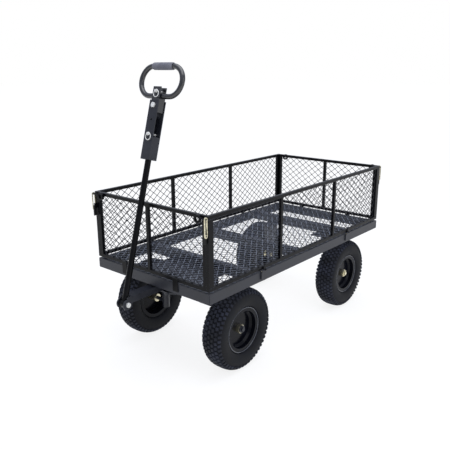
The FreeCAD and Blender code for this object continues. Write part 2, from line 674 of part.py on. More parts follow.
def build_tongue():
    """The channel tongue with its clevis ears, its crank plate and its bolts."""
    rear = "kingbolt_y + tongue_tail"
    front = "-tongue_reach"
    length = "(%s) - (%s)" % (rear, front)
    middle = "((%s) + (%s)) / 2" % (rear, front)
    web_start = "-tongue_reach + web_front"
    web = block("tongue_width", "(%s) - (%s)" % (rear, web_start), "tongue_wall", "0",
                "((%s) + (%s)) / 2" % (rear, web_start), "tongue_top - tongue_wall")
    side_x = "(tongue_width / 2 - tongue_wall / 2)"
    walls = [block("tongue_wall", length, "tongue_top - tongue_bottom", "%d * %s" % (side, side_x), middle,
                   "tongue_bottom") for side in (1, -1)]
    ears = [rod("tongue_nose", "tongue_wall", "X",
                "tongue_width / 2 - tongue_wall" if side > 0 else "-tongue_width / 2", front, "clevis_z")
            for side in (1, -1)]
    crank_y = "kingbolt_y - arm_forward"
    crank = block("2 * crank_half", "arm_forward + crank_end + tongue_tail", "crank_thick", "0",
                  "(%s - crank_end + (%s)) / 2" % (crank_y, rear), "crank_bottom")
    whole = fuse(web, *walls, *ears, crank)
    holes = [rod("kingbolt_r + running_fit", "rail_height", "Z", "0", "kingbolt_y", "crank_bottom - 4"),
             rod("clevis_bolt_r", "tongue_width", "X", "-tongue_width / 2", front, "clevis_z")]
    holes += [rod("stud_r", "crank_thick", "Z", "%d * arm_side" % side, crank_y, "crank_bottom")
              for side in (1, -1)]
    node("tongue", cut(whole, *holes))
    studs = []
    for side in (1, -1):
        studs.append(fuse(rod("stud_r", "tongue_bottom - rod_bottom + stud_foot", "Z", "%d * arm_side" % side,
                              crank_y, "rod_bottom - stud_foot"),
                          rod("bolt_head_r", "bolt_head", "Z", "%d * arm_side" % side, crank_y,
                              "tongue_bottom"),
                          rod("bolt_head_r - 1", "stud_foot - joint_gap / 2", "Z", "%d * arm_side" % side,
                              crank_y, "rod_bottom - stud_foot")))
    node("tie_rod_bolts", group(*studs))
    reach = "tongue_width + 2 * bolt_head + 4"
    node("clevis_bolt", fuse(rod("clevis_bolt_r", reach, "X", "-(%s) / 2" % reach, front, "clevis_z"),
                             rod("bolt_head_r", "bolt_head", "X", "tongue_width / 2", front, "clevis_z"),
                             rod("bolt_head_r", "bolt_head", "X", "-tongue_width / 2 - bolt_head", front,
                                 "clevis_z")))


def knuckle(side):
    """An upright sleeve on the kingpin with the stub axle welded to it."""
    sleeve = rod("sleeve_r", "knuckle_top - sleeve_bottom", "Z", "%d * kingpin_x" % side, "front_axle_y",
                 "sleeve_bottom")
    length = "track_half + axle_end - kingpin_x"
    begin = "kingpin_x" if side > 0 else "-(track_half + axle_end)"
    stub = rod("axle_r", length, "X", begin, "front_axle_y", "axle_z")
    washer, pin = retainer(side, "front_axle_y")
    bore = rod("kingpin_r", "knuckle_top - sleeve_bottom", "Z", "%d * kingpin_x" % side, "front_axle_y",
               "sleeve_bottom")
    return fuse(cut(fuse(sleeve, stub), bore), washer, pin)


def kingpin(side):
    """The pin that the knuckle turns with, and the steering arm on its top."""
    x = "%d * kingpin_x" % side
    end_x = "%d * (kingpin_x + arm_side)" % side
    end_y = "front_axle_y - arm_forward"
    pin = rod("kingpin_r", "arm_top - sleeve_bottom", "Z", x, "front_axle_y", "sleeve_bottom")
    boss = rod("bush_r", "arm_thick", "Z", x, "front_axle_y", "arm_bottom")
    eye = rod("arm_eye_r", "arm_thick", "Z", end_x, end_y, "arm_bottom")
    bar = turned_bar(x, "front_axle_y", end_x, end_y, "2 * arm_eye_r", "arm_thick", "arm_bottom")
    stud = rod("stud_r", "rod_top + joint_gap - arm_bottom", "Z", end_x, end_y, "arm_bottom")
    cap = rod("bolt_head_r", "stud_foot", "Z", end_x, end_y, "rod_top + joint_gap")
    return fuse(pin, boss, eye, bar, stud, cap)


def tie_rod(side):
    """A flat link with an eye at each end, from the tongue's crank to a steering arm."""
    x1 = "%d * arm_side" % side
    y1 = "kingbolt_y - arm_forward"
    x2 = "%d * (kingpin_x + arm_side)" % side
    y2 = "front_axle_y - arm_forward"
    eyes = [rod("rod_eye_r", "rod_thick", "Z", x, y, "rod_bottom") for x, y in ((x1, y1), (x2, y2))]
    bar = turned_bar(x1, y1, x2, y2, "rod_width", "rod_thick", "rod_bottom")
    bores = [rod("stud_r + running_fit", "rod_thick", "Z", x, y, "rod_bottom")
             for x, y in ((x1, y1), (x2, y2))]
    return cut(fuse(bar, *eyes), *bores)


def build_steering():
    """Knuckles, kingpins and tie rods of the two front wheels."""
    for name, side in (("right", 1), ("left", -1)):
        node("knuckle_" + name, knuckle(side))
        node("kingpin_" + name, kingpin(side))
        node("tie_rod_" + name, tie_rod(side))


# ----------------------------------------------------------------------- handle

HALF_TURNS = {
    1: FreeCAD.Rotation(FreeCAD.Vector(0, 0, -1), FreeCAD.Vector(1, 0, 0), FreeCAD.Vector(0, -1, 0), "ZXY"),
    -1: FreeCAD.Rotation(FreeCAD.Vector(0, 0, 1), FreeCAD.Vector(-1, 0, 0), FreeCAD.Vector(0, -1, 0), "ZXY"),
}


def ring_bend(side):
    """One half-round end of the pull ring."""
    bend = doc.addObject("Part::Torus", "Bend")
    bind(bend, "Radius1", "ring_arc_r")
    bind(bend, "Radius2", "ring_tube_r")
    bend.Angle3 = 180
    bend.Placement.Rotation = HALF_TURNS[side]
    place(bend, "%d * ring_half_straight" % side, "0", "ring_middle")
    return bend


def pull_pin(at, through):
    """A round pin across the handle with a head and a small pull ring at its front."""
    half = "(%s) / 2" % through
    start = "-(%s) - pin_proud" % half
    pin = rod("pin_r", "(%s) + 2 * pin_proud" % through, "Y", "0", start, at)
    head = rod("pin_r + pin_head_lip", "pin_head", "Y", "0", "-(%s) - pin_head - latch_gap" % half, at)
    loop = doc.addObject("Part::Torus", "Loop")
    bind(loop, "Radius1", "pull_ring_r")
    bind(loop, "Radius2", "pull_ring_wire")
    loop.Placement.Rotation = FreeCAD.Rotation(FreeCAD.Vector(1, 0, 0), 90)
    place(loop, "pull_ring_side", "-(%s) - pin_proud + pull_ring_hold" % half, "(%s) - pull_ring_drop" % at)
    return fuse(pin, head, loop)


def build_handle():
    """Drawbar, fork, shank with its pull ring and grip, and the two pins."""
    eye_length = "tongue_width - 2 * tongue_wall - 2 * eye_play"
    eye = rod("eye_r", eye_length, "X", "-(%s) / 2" % eye_length)
    tube_top = "sleeve_top - 10"
    shaft = cut(rod("drawbar_r", tube_top),
                rod("drawbar_r - drawbar_wall", "(%s) - eye_r - 2" % tube_top, "Z", "0", "0", "eye_r + 1"))
    bore = rod("clevis_bolt_r + running_fit", eye_length, "X", "-(%s) / 2" % eye_length)
    handle_node("drawbar", cut(fuse(shaft, eye), bore))

    tall = "fork_top - fork_bottom"
    outer = block("fork_width", "fork_depth", tall, "0", "0", "fork_bottom")
    clear = "fork_depth - 2 * fork_wall"
    hollow = block("fork_width - 2 * fork_wall", clear, "sleeve_top - fork_bottom - fork_wall", "0", "0",
                   "fork_bottom + fork_wall")
    window = block("fork_width - fork_wall", clear, "fork_top - sleeve_top", "fork_wall / 2", "0",
                   "sleeve_top")
    mouth = block("fork_width", clear, "fork_top - fork_back_top", "0", "0", "fork_back_top")
    holes = [rod("drawbar_r", "fork_wall", "Z", "0", "0", "fork_bottom"),
             rod("shank_bolt_r", "fork_depth", "Y", "0", "-fork_depth / 2", "shank_bolt_at"),
             rod("pin_r + running_fit", "fork_depth", "Y", "0", "-fork_depth / 2", "lock_pin_at"),
             rod("pin_r + running_fit", "fork_wall", "Y", "0", "-fork_depth / 2", "spare_hole_at")]
    handle_node("tow_fork", cut(outer, hollow, window, mouth, *holes))

    depth = "fork_depth - 2 * fork_wall - 2 * shank_play"
    body = block("shank_width", depth, "shank_top - shank_bottom", "0", "0", "shank_bottom")
    slot = block("shank_width", "(%s) - 2 * head_wall" % depth, "shank_top - shank_bolt_at - 42", "0", "0",
                 "shank_bolt_at + 42")
    shank_holes = [rod("shank_bolt_r + running_fit", depth, "Y", "0", "-(%s) / 2" % depth, "shank_bolt_at"),
                   rod("pin_r + running_fit", depth, "Y", "0", "-(%s) / 2" % depth, "hitch_pin_at"),
                   rod("ring_tube_r", "shank_width", "X", "-shank_width / 2", "0", "ring_low_at")]
    handle_node("handle_shank", cut(body, slot, *shank_holes))

    straight = "2 * ring_half_straight"
    bars = [rod("ring_tube_r", straight, "X", "-ring_half_straight", "0", at)
            for at in ("ring_low_at", "ring_high_at")]
    handle_node("pull_ring", fuse(*bars, ring_bend(1), ring_bend(-1)))
    handle_node("grip", cut(rod("grip_r", "2 * grip_half", "X", "-grip_half", "0", "ring_high_at"),
                            rod("ring_tube_r", "2 * grip_half", "X", "-grip_half", "0", "ring_high_at")))
    reach = "fork_depth + 2 * bolt_head"
    handle_node("shank_bolt", fuse(rod("shank_bolt_r", reach, "Y", "0", "-(%s) / 2" % reach, "shank_bolt_at"),
                                   rod("bolt_head_r", "bolt_head - 1", "Y", "0",
                                       "-fork_depth / 2 - bolt_head + 1", "shank_bolt_at"),
                                   rod("bolt_head_r", "bolt_head - 1", "Y", "0", "fork_depth / 2",
                                       "shank_bolt_at")))
    handle_node("lock_pin", pull_pin("lock_pin_at", "fork_depth"))
    handle_node("hitch_pin", pull_pin("hitch_pin_at", depth))


# ------------------------------------------------------------------ build and write

build_bed()
build_sides()
build_wheels()
build_supports()
build_kingbolt()
build_tongue()
build_steering()
build_handle()
doc.recompute()

faults = [thing.Name for thing in doc.Objects if "Invalid" in thing.State or "Error" in thing.State]
faults += [piece.Label for piece in NODES if piece.Shape.isNull() or not piece.Shape.isValid()]
if faults:
    raise RuntimeError("failed objects: " + ", ".join(faults))

os.makedirs("parts", exist_ok=True)
for piece in NODES:
    piece.Shape.exportStep("parts/%s.step" % piece.Label)
    box = piece.Shape.BoundBox
    print("%-24s %2d solids  %9.0f mm3  x %7.1f %7.1f  y %7.1f %7.1f  z %7.1f %7.1f" % (
        piece.Label, len(piece.Shape.Solids), piece.Shape.Volume, box.XMin, box.XMax, box.YMin, box.YMax,
        box.ZMin, box.ZMax))
print(len(NODES), "nodes")
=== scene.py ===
"""A four-wheeled steel garden cart with mesh drop sides, dressed for a studio picture."""
import json
import logging
import math
from dataclasses import dataclass
from enum import Enum
from typing import Iterable, Sequence, Union

import bmesh
import bpy
from mathutils import Matrix, Vector


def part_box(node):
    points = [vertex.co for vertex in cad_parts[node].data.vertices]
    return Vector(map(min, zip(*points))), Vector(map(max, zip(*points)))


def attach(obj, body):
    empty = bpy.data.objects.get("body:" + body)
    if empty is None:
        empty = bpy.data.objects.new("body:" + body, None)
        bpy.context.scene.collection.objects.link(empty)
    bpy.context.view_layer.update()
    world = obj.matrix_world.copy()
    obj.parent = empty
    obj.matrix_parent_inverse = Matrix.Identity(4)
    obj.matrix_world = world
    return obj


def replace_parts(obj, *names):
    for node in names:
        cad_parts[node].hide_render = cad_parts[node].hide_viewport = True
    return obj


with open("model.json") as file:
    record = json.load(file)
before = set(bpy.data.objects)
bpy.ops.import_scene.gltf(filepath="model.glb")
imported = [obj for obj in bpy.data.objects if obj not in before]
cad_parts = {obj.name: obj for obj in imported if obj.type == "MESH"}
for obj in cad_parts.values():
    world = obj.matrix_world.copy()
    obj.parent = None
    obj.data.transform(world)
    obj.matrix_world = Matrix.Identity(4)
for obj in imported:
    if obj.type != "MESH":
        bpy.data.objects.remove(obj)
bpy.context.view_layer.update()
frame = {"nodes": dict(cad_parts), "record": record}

LOG = logging.getLogger("garden_cart")
MM = 0.001
Point = tuple[float, float, float]
Fed = Union[bpy.types.NodeSocket, float]

# The span of a noise's values over which a finish drifts in colour, and in gloss.
TINT_SPAN = (0.35, 0.65)
GLOSS_SPAN = (0.3, 0.7)
COAT_ROUGHNESS = 0.25
EDGE_SAMPLES = 4
# The cosine between the rounded normal and the face's own where the lightened edge starts and where it is
# full, and the most of the edge colour that shows; the lightened edges are partly wear and partly a painted
# highlight.
EDGE_WEAR_HIGHLIGHT_START, EDGE_WEAR_HIGHLIGHT_FULL, EDGE_WEAR_HIGHLIGHT_MOST = 0.99, 0.72, 0.55


def linear(code: str) -> tuple[float, float, float, float]:
    """Turn an sRGB hex value into a linear colour.

    Args:
        code: six hex digits, such as "1b1c1f".

    Returns:
        Linear red, green, blue and an alpha of one.
    """
    parts = [int(code[i:i + 2], 16) / 255 for i in (0, 2, 4)]
    red, green, blue = (p / 12.92 if p <= 0.04045 else ((p + 0.055) / 1.055) ** 2.4 for p in parts)
    return red, green, blue, 1.0


def per_metre(millimetres: float) -> float:
    """How many features of that many millimetres fit in a metre, which is a texture's scale."""
    return 1000 / millimetres


def add_node(tree: bpy.types.NodeTree, kind: str, inputs: dict | None = None,
             **settings: object) -> bpy.types.Node:
    """Add one node to a tree, with its settings, values and links.

    Args:
        tree: the node tree that takes it.
        kind: Blender's name for the kind of node.
        inputs: socket name or index to the socket that feeds it, or to its plain value.
        **settings: the node's own properties.

    Returns:
        The new node.
    """
    node = tree.nodes.new(kind)
    for name, setting in settings.items():
        setattr(node, name, setting)
    for key, given in (inputs or {}).items():
        if isinstance(given, bpy.types.NodeSocket):
            tree.links.new(given, node.inputs[key])
        else:
            node.inputs[key].default_value = given
    return node


# ---------------------------------------------------------------- finishes


@dataclass(frozen=True)
class Finish:
    """What every finish shares: a base colour that drifts, a roughness that drifts, and a surface relief.

    The drift is slow, as a hand's width of dust or handling; the relief is the finish's own grain.
    """

    name: str
    colour: str
    second: str
    roughness: tuple[float, float]
    drift_mm: float
    grain_mm: float
    grain_depth_mm: float
    metallic: float = 0.0
    specular: float = 0.5
    coat: float = 0.0
    edge_mm: float = 0.0
    # The colour that the edges lean towards: partly wear, partly a painted highlight.
    edge_wear_and_highlight_colour: str = "55585c"

    def build(self) -> bpy.types.Material:
        """Make the material.

        Returns:
            A node material whose patterns read Object coordinates.
        """
        material = bpy.data.materials.new(self.name)
        material.use_nodes = True
        tree = material.node_tree
        tree.nodes.clear()
        place = add_node(tree, "ShaderNodeTexCoord").outputs["Object"]
        drift = add_node(tree, "ShaderNodeTexNoise",
                         {"Vector": place, "Scale": per_metre(self.drift_mm), "Detail": 4.0,
                          "Roughness": 0.6})
        tint = add_node(tree, "ShaderNodeMix", {"A": linear(self.colour), "B": linear(self.second)},
                        data_type="RGBA")
        tint_by = add_node(tree, "ShaderNodeMapRange",
                           {"Value": drift.outputs["Fac"], "From Min": TINT_SPAN[0],
                            "From Max": TINT_SPAN[1]})
        tree.links.new(tint_by.outputs["Result"], tint.inputs["Factor"])
        gloss = add_node(tree, "ShaderNodeMapRange",
                         {"Value": drift.outputs["Fac"], "From Min": GLOSS_SPAN[0],
                          "From Max": GLOSS_SPAN[1],
                          "To Min": self.roughness[0], "To Max": self.roughness[1]})
        height = self.relief(tree, place)
        bump = add_node(tree, "ShaderNodeBump",
                        {"Height": height, "Distance": self.grain_depth_mm * MM, "Strength": 1.0})
        colour = tint.outputs["Result"]
        if self.edge_mm:
            colour = self.worn_and_highlit_edges(tree, colour, bump)
        shader = add_node(tree, "ShaderNodeBsdfPrincipled",
                          {"Base Color": colour, "Roughness": gloss.outputs["Result"],
                           "Normal": bump.outputs["Normal"], "Metallic": self.metallic,
                           "Specular IOR Level": self.specular, "Coat Weight": self.coat,
                           "Coat Roughness": COAT_ROUGHNESS})
        add_node(tree, "ShaderNodeOutputMaterial", {"Surface": shader.outputs["BSDF"]})
        return material

    def relief(self, tree: bpy.types.NodeTree, place: bpy.types.NodeSocket) -> bpy.types.NodeSocket:
        """The height that the bump reads: here a soft noise, as sprayed and baked coats show.

        Args:
            tree: the material's tree.
            place: the coordinates to read.

        Returns:
            The height socket.
        """
        grain = add_node(tree, "ShaderNodeTexNoise",
                         {"Vector": place, "Scale": per_metre(self.grain_mm), "Detail": 2.0})
        return grain.outputs["Fac"]

    def worn_and_highlit_edges(self, tree: bpy.types.NodeTree, colour: bpy.types.NodeSocket,
                   bump: bpy.types.Node) -> bpy.types.NodeSocket:
        """Round the sharp edges for the light, and lighten the coat on them: partly wear where it is thin,
        partly a painted highlight along every edge.

        Args:
            tree: the material's tree.
            colour: the colour before its edges are lightened.
            bump: the bump node, which takes the rounded normal.

        Returns:
            The colour with its edges lightened, partly by wear and partly by a painted highlight.
        """
        rounded = add_node(tree, "ShaderNodeBevel", {"Radius": self.edge_mm * MM},
                           samples=EDGE_SAMPLES)
        tree.links.new(rounded.outputs["Normal"], bump.inputs["Normal"])
        flat = add_node(tree, "ShaderNodeNewGeometry").outputs["Normal"]
        along = add_node(tree, "ShaderNodeVectorMath", {0: rounded.outputs["Normal"], 1: flat},
                         operation="DOT_PRODUCT")
        # Lighten the edges: partly wear, partly a painted highlight.
        edge_wear_and_highlight = add_node(tree, "ShaderNodeMapRange",
                        {"Value": along.outputs["Value"], "From Min": EDGE_WEAR_HIGHLIGHT_START, "From Max": EDGE_WEAR_HIGHLIGHT_FULL,
                         "To Min": 0.0, "To Max": EDGE_WEAR_HIGHLIGHT_MOST})
        mixed = add_node(tree, "ShaderNodeMix", {"A": colour, "B": linear(self.edge_wear_and_highlight_colour)},
                         data_type="RGBA")
        tree.links.new(edge_wear_and_highlight.outputs["Result"], mixed.inputs["Factor"])
        return mixed.outputs["Result"]


@dataclass(frozen=True)
class CellFinish(Finish):
    """A finish whose relief is small closed cells, as foam and spark-eroded moulds leave."""

    def relief(self, tree: bpy.types.NodeTree, place: bpy.types.NodeSocket) -> bpy.types.NodeSocket:
        """The height of the cells.

        Args:
            tree: the material's tree.
            place: the coordinates to read.

        Returns:
            The height socket.
        """
        cells = add_node(tree, "ShaderNodeTexVoronoi",
                         {"Vector": place, "Scale": per_metre(self.grain_mm)}, feature="SMOOTH_F1")
        return cells.outputs["Distance"]


class Coat(Enum):
    """The finishes on the cart, by the name of the record's material slot.

    The reliefs are drawn deeper than real ones, a few hundredths of a millimetre instead of a few
    thousandths, so that they show from where the whole cart is seen.
    """

    # Polyester powder, sprayed and baked on folded sheet: satin black with an orange peel of about 2 mm.
    SATIN = ("powder_coat", Finish("powder_coated_steel_satin", "1e2027", "282a32", (0.34, 0.46),
                                   90, 2.2, 0.035, specular=0.4, edge_mm=1.4, edge_wear_and_highlight_colour="3f434c"))
    # The same powder on square tube, as a darker copy that paints the shade on the tubes, so their sides stay
    # near black.
    TUBE = ("powder_coat", Finish("powder_coated_tube_painted_shade", "040406", "09090c", (0.24, 0.34),
                                  70, 2.0, 0.025, specular=0.14, edge_mm=1.8, edge_wear_and_highlight_colour="3a3e47"))
    # Powder on the handle's bent tube: glossier, with bright streaks along its curves.
    BENT = ("powder_coat", Finish("powder_coated_tube_gloss", "0b0c10", "14161b", (0.12, 0.2),
                                  50, 2.4, 0.02, specular=0.9, edge_mm=1.2, edge_wear_and_highlight_colour="5a5e68"))
    # Powder on expanded mesh: lies flat to the light, a little bluer and dustier.
    MESH = ("mesh_coat", Finish("powder_coated_mesh_expanded", "14161c", "1f2128", (0.36, 0.5),
                                60, 1.6, 0.03, specular=0.3))
    # The deck's mesh, as a lighter, bluer copy of the mesh powder: a painted highlight from above on its
    # upturned face.
    DECK = ("mesh_coat", Finish("powder_coated_mesh_painted_highlight", "666c7a", "7a808d", (0.4, 0.55),
                                80, 1.8, 0.03, specular=0.5))
    # Stoved enamel on the pressed wheel halves: glossier, with faint waves from the press.
    ENAMEL = ("rim_enamel", Finish("stoved_enamel_pressed_steel", "07080d", "0f1018", (0.12, 0.22),
                                   45, 9.0, 0.12, specular=0.12, edge_mm=1.4, edge_wear_and_highlight_colour="4a4e5a"))
    # Zinc with a straw passivation: pale, faintly yellow, slightly cloudy. Its crystals are too fine
    # to see, so a grain of nearly a millimetre stands for them, here and on the bright zinc.
    ZINC = ("zinc", Finish("zinc_plated_steel_passivated", "efe9cf", "c9c2a4", (0.3, 0.5),
                           7, 0.8, 0.02, metallic=1.0, edge_mm=0.5, edge_wear_and_highlight_colour="f2efe2"))
    # Bright zinc under a clear seal, which spreads the light on bolt heads and pins.
    BRIGHT = ("zinc", Finish("zinc_plated_steel_clear_sealed", "f6f6f4", "deded8", (0.35, 0.5),
                             9, 0.9, 0.02, metallic=0.4, coat=0.3, edge_mm=0.5, edge_wear_and_highlight_colour="ffffff"))
    # The rim's rolled lip, as a lighter, glossier copy of the enamel: a painted highlight along the lip.
    LIP = ("rim_enamel", Finish("stoved_enamel_rolled_edge_painted_highlight", "30333b", "3e414a", (0.2, 0.32),
                                20, 4.0, 0.05, specular=0.7))
    # Moulded carbon-black rubber: matt, faintly dusty, pebbled by the mould. The pebbles, about
    # 0.4 mm on a real tyre, are drawn three times as coarse so that they show.
    RUBBER = ("tyre_rubber", Finish("vulcanised_rubber_moulded", "0c0d11", "15171d", (0.5, 0.66),
                                    38, 1.4, 0.09, specular=0.15, edge_mm=0.8, edge_wear_and_highlight_colour="282b36"))
    # The same rubber on the tread, lighter and bluer than the casing.
    TREAD = ("tyre_rubber", Finish("vulcanised_rubber_tread_lighter", "14161c", "30333f", (0.6, 0.8),
                                   60, 1.2, 0.12, specular=0.22, edge_mm=0.6, edge_wear_and_highlight_colour="3c404c"))
    # Nylon lever, injection moulded with a spark-eroded texture: about 0.1 mm on a real one, drawn
    # ten times as coarse so that it shows.
    LEVER = ("lever_plastic", CellFinish("nylon_injection_moulded", "070708", "0d0d10", (0.42, 0.55),
                                         30, 1.1, 0.06, specular=0.3, edge_mm=0.7, edge_wear_and_highlight_colour="202226"))
    # Closed-cell foam sleeve, extruded: mid grey, matt and pored. Its cells, about 0.5 mm, are drawn
    # over three times as coarse so that they show.
    FOAM = ("grip_foam", CellFinish("closed_cell_foam_extruded", "666770", "76777f", (0.8, 0.95),
                                    25, 1.8, 0.35, specular=0.3))

    @property
    def slot(self) -> str:
        """The record's slot that this finish dresses."""
        return self.value[0]

    def material(self) -> bpy.types.Material:
        """The finish's material, made once."""
        found = bpy.data.materials.get(self.value[1].name)
        return found or self.value[1].build()


# ------------------------------------------------------------ mesh helpers


def new_piece(name: str, mesh: bpy.types.Mesh) -> bpy.types.Object:
    """Put a mesh in the scene as an object at the origin.

    Args:
        name: the piece's name.
        mesh: its mesh.

    Returns:
        The linked object.
    """
    piece = bpy.data.objects.new(name, mesh)
    bpy.context.scene.collection.objects.link(piece)
    return piece


def smooth(mesh: bpy.types.Mesh, sharp_degrees: float = 35) -> None:
    """Shade a mesh smooth, with hard edges kept where faces meet steeply.

    Args:
        mesh: the mesh to shade.
        sharp_degrees: edges steeper than this stay hard.
    """
    shaped = bmesh.new()
    shaped.from_mesh(mesh)
    for face in shaped.faces:
        face.smooth = True
    for edge in shaped.edges:
        edge.smooth = len(edge.link_faces) == 2 and edge.calc_face_angle(0) < math.radians(sharp_degrees)
    shaped.to_mesh(mesh)
    shaped.free()


def lathe(profile: Sequence[tuple[float, float]], segments: int) -> bpy.types.Mesh:
    """Turn a closed outline about Z.

    Args:
        profile: (height, radius) pairs round the closed outline, in metres.
        segments: how many steps the turn takes.

    Returns:
        A closed mesh with outward faces.
    """
    shaped = bmesh.new()
    rings = []
    for height, radius in profile:
        rings.append([shaped.verts.new((radius * math.cos(a), radius * math.sin(a), height))
                      for a in (2 * math.pi * k / segments for k in range(segments))])
    for one, other in zip(rings, rings[1:] + rings[:1]):
        for k in range(segments):
            n = (k + 1) % segments
            shaped.faces.new((one[k], one[n], other[n], other[k]))
    bmesh.ops.recalc_face_normals(shaped, faces=shaped.faces)
    mesh = bpy.data.meshes.new("turned")
    shaped.to_mesh(mesh)
    shaped.free()
    return mesh


def rounded(points: Sequence[tuple[float, float]], cuts: int = 2) -> list[tuple[float, float]]:
    """Round a closed outline's corners by cutting them off again and again.

    Args:
        points: the closed outline.
        cuts: how many times every corner is cut.

    Returns:
        The rounded outline.
    """
    line = list(points)
    quarter = 0.25
    for _ in range(cuts):
        line = [(a[0] * s + b[0] * (1 - s), a[1] * s + b[1] * (1 - s))
                for a, b in zip(line, line[1:] + line[:1]) for s in (1 - quarter, quarter)]
    return line


# ------------------------------------------------------- geometry node trees


@dataclass
class Grower:
    """A geometry node tree under construction, with its named inputs."""

    name: str

    def __post_init__(self) -> None:
        """Make the empty tree with its geometry sockets."""
        self.tree = bpy.data.node_groups.new(self.name, "GeometryNodeTree")
        face = self.tree.interface
        face.new_socket("Geometry", in_out="INPUT", socket_type="NodeSocketGeometry")
        face.new_socket("Geometry", in_out="OUTPUT", socket_type="NodeSocketGeometry")
        self.entry = None

    def size(self, name: str, kind: str = "NodeSocketFloat") -> None:
        """Declare one named input."""
        self.tree.interface.new_socket(name, in_out="INPUT", socket_type=kind)

    def begin(self) -> None:
        """Place the input node, once the inputs are declared."""
        self.entry = self.add("NodeGroupInput")

    def add(self, kind: str, inputs: dict | None = None, **settings: object) -> bpy.types.Node:
        """Add a node to this tree."""
        return add_node(self.tree, kind, inputs, **settings)

    def given(self, name: str) -> bpy.types.NodeSocket:
        """The socket of a named input."""
        return self.entry.outputs[name]

    def sum(self, operation: str, first: Fed, second: Fed = 0.0) -> bpy.types.NodeSocket:
        """One step of arithmetic in the tree."""
        return self.add("ShaderNodeMath", {0: first, 1: second}, operation=operation).outputs[0]

    def vector(self, x: Fed = 0.0, y: Fed = 0.0, z: Fed = 0.0) -> bpy.types.NodeSocket:
        """Three numbers joined to a vector."""
        return self.add("ShaderNodeCombineXYZ", {0: x, 1: y, 2: z}).outputs[0]

    def finish(self, geometry: bpy.types.NodeSocket) -> bpy.types.NodeTree:
        """End the tree in real geometry with its material.

        Args:
            geometry: what the tree has made.

        Returns:
            The finished tree.
        """
        real = self.add("GeometryNodeRealizeInstances", {"Geometry": geometry})
        coated = self.add("GeometryNodeSetMaterial",
                          {"Geometry": real.outputs[0], "Material": self.given("Material")})
        self.add("NodeGroupOutput", {0: coated.outputs[0]})
        return self.tree


def grow(name: str, tree: bpy.types.NodeTree, sizes: dict, place: Matrix | None = None,
         base: bpy.types.Mesh | None = None) -> bpy.types.Object:
    """Run a geometry node tree and keep its result as a plain mesh.

    Args:
        name: the piece's name.
        tree: the tree to run.
        sizes: the value of each named input.
        place: where the result goes, in the row frame.
        base: the mesh the tree starts from, where it takes one.

    Returns:
        The piece, at the origin with its place in its mesh.
    """
    carrier = new_piece(name + "_carrier", base or bpy.data.meshes.new(name))
    modifier = carrier.modifiers.new("grow", "NODES")
    modifier.node_group = tree
    for item in tree.interface.items_tree:
        if item.in_out == "INPUT" and item.name in sizes:
            modifier[item.identifier] = sizes[item.name]
    bpy.context.view_layer.update()
    shown = carrier.evaluated_get(bpy.context.evaluated_depsgraph_get())
    mesh = bpy.data.meshes.new_from_object(shown)
    carrier.modifiers.clear()
    bpy.data.objects.remove(carrier)
    if place is not None:
        mesh.transform(place)
    mesh.name = name
    return new_piece(name, mesh)


def diamond_mesh_tree() -> bpy.types.NodeTree:
    """A panel of expanded metal: rows of diamond cells, each with an upper and a lower strand.

    Returns:
        The tree, whose panel lies in XY about the origin, long way along X.
    """
    made = Grower("diamond_mesh")
    for name in ("Long pitch", "Short pitch", "Strand width", "Strand thickness", "Bond", "Twist"):
        made.size(name)
    made.size("Cells along", "NodeSocketInt")
    made.size("Cells across", "NodeSocketInt")
    made.size("Material", "NodeSocketMaterial")
    made.begin()
    half_long = made.sum("MULTIPLY", made.given("Long pitch"), 0.5)
    half_bond = made.sum("MULTIPLY", made.given("Bond"), 0.5)
    half_width = made.sum("MULTIPLY", made.given("Strand width"), 0.5)
    shoulder = made.sum("SUBTRACT", half_long, half_bond)
    crest = made.sum("SUBTRACT", made.sum("MULTIPLY", made.given("Short pitch"), 0.5), half_width)
    # The six bends of one strand: bond, slope, bond, slope, bond, seen from the cell's middle.
    stations = [half_long, shoulder, half_bond]
    values = [made.sum("MULTIPLY", s, -1.0) for s in stations] + stations[::-1]
    steps = made.add("GeometryNodeIndexSwitch", data_type="FLOAT")
    while len(steps.index_switch_items) < len(values):
        steps.index_switch_items.new()
    made.tree.links.new(made.add("GeometryNodeInputIndex").outputs[0], steps.inputs[0])
    for socket, station in zip(steps.inputs[1:], values):
        made.tree.links.new(station, socket)
    across = made.sum("ABSOLUTE", steps.outputs[0])
    rise = made.add("ShaderNodeMapRange", {"Value": across, "From Min": half_bond, "From Max": shoulder,
                                           "To Min": crest, "To Max": half_width})
    line = made.add("GeometryNodeMeshLine", {"Count": len(values)})
    bent = made.add("GeometryNodeSetPosition",
                    {"Geometry": line.outputs[0],
                     "Position": made.vector(steps.outputs[0], rise.outputs["Result"])})
    curve = made.add("GeometryNodeMeshToCurve", {"Mesh": bent.outputs[0]})
    tilted = made.add("GeometryNodeSetCurveTilt", {"Curve": curve.outputs[0], "Tilt": made.given("Twist")})
    section = made.add("GeometryNodeCurvePrimitiveQuadrilateral",
                       {"Width": made.given("Strand width"), "Height": made.given("Strand thickness")})
    upper = made.add("GeometryNodeCurveToMesh",
                     {"Curve": tilted.outputs[0], "Profile Curve": section.outputs[0]})
    lower = made.add("GeometryNodeTransform",
                     {"Geometry": upper.outputs[0], "Rotation": (0.0, 0.0, math.pi)})
    cell = made.add("GeometryNodeJoinGeometry")
    made.tree.links.new(upper.outputs[0], cell.inputs[0])
    made.tree.links.new(lower.outputs[0], cell.inputs[0])
    span_x = made.sum("MULTIPLY", made.sum("SUBTRACT", made.given("Cells along"), 1.0),
                      made.given("Long pitch"))
    span_y = made.sum("MULTIPLY", made.sum("SUBTRACT", made.given("Cells across"), 1.0),
                      made.given("Short pitch"))
    grid = made.add("GeometryNodeMeshGrid", {"Size X": span_x, "Size Y": span_y,
                                             "Vertices X": made.given("Cells along"),
                                             "Vertices Y": made.given("Cells across")})
    cells = made.add("GeometryNodeInstanceOnPoints", {"Points": grid.outputs[0], "Instance": cell.outputs[0]})
    return made.finish(cells.outputs[0])


